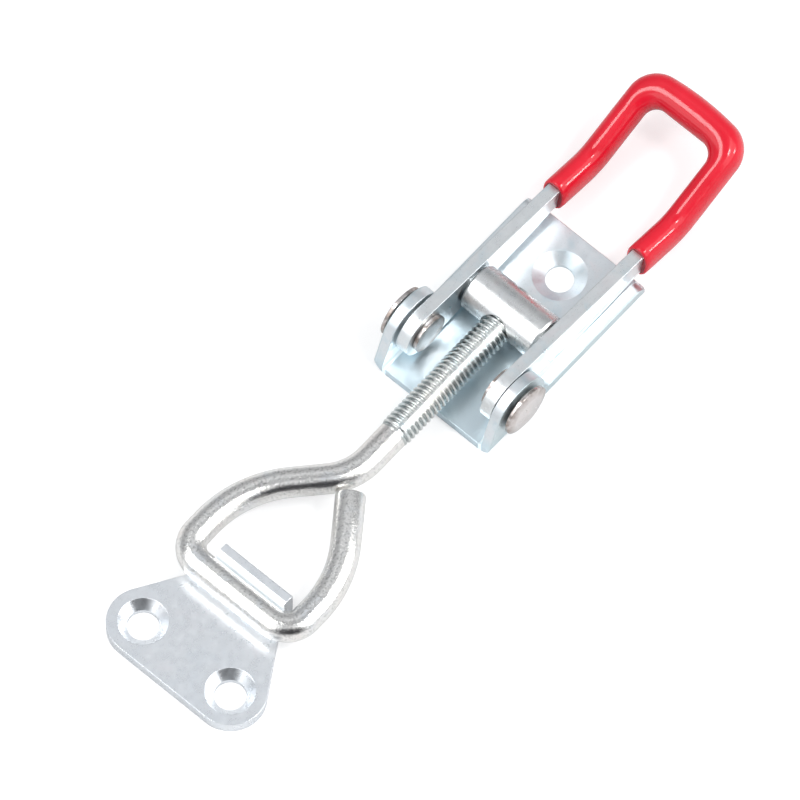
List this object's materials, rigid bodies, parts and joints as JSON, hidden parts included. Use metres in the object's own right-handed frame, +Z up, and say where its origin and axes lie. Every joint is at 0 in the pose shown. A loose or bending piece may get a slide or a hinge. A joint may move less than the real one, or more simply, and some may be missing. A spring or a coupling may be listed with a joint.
{
  "type": "over centre toggle latch",
  "caption": "Over centre toggle latch with a wire loop hook on a threaded rod, a folded base, a dipped loop handle and a keeper plate with an upright lip.",
  "frame": {"origin": "centre of the rear screw hole of the base, on the mounting plane", "axes": "+X toward the grip, +Y toward the left arm, +Z up off the mounting panel"},
  "size_m": [0.1425, 0.0328, 0.0153],
  "materials": {
    "zinc_plate": "bright blue-white zinc plating, glossy",
    "rivet_steel": "plain nickel-like steel, smooth",
    "red_vinyl": "dipped soft vinyl, glossy"
  },
  "bodies": {
    "base": {"base_bracket": "zinc_plate", "left_pivot_rivet": "rivet_steel", "right_pivot_rivet": "rivet_steel", "keeper_plate": "zinc_plate"},
    "handle": {"handle_lever": "zinc_plate", "handle_grip": "red_vinyl"},
    "barrel": {"cross_barrel": "zinc_plate"},
    "hook": {"hook_bolt": "zinc_plate"}
  },
  "joints": [
    {"name": "handle_pivot", "type": "hinge", "parent": "base", "child": "handle", "pos_m": [-0.0253, 0, 0.0076], "axis": [0, -1, 0], "range_deg": [0, 160]},
    {"name": "barrel_pivot", "type": "hinge", "parent": "handle", "child": "barrel", "pos_m": [-0.0128, 0, 0.0072], "axis": [0, -1, 0], "range_deg": [-160, 0]},
    {"name": "hook_adjust", "type": "slide", "parent": "barrel", "child": "hook", "axis": [0.9997, 0, 0.024], "range_m": [-0.004, 0]}
  ],
  "couplings": [
    {"joint": "barrel_pivot", "follows": "handle_pivot", "ratio": -1}
  ]
}
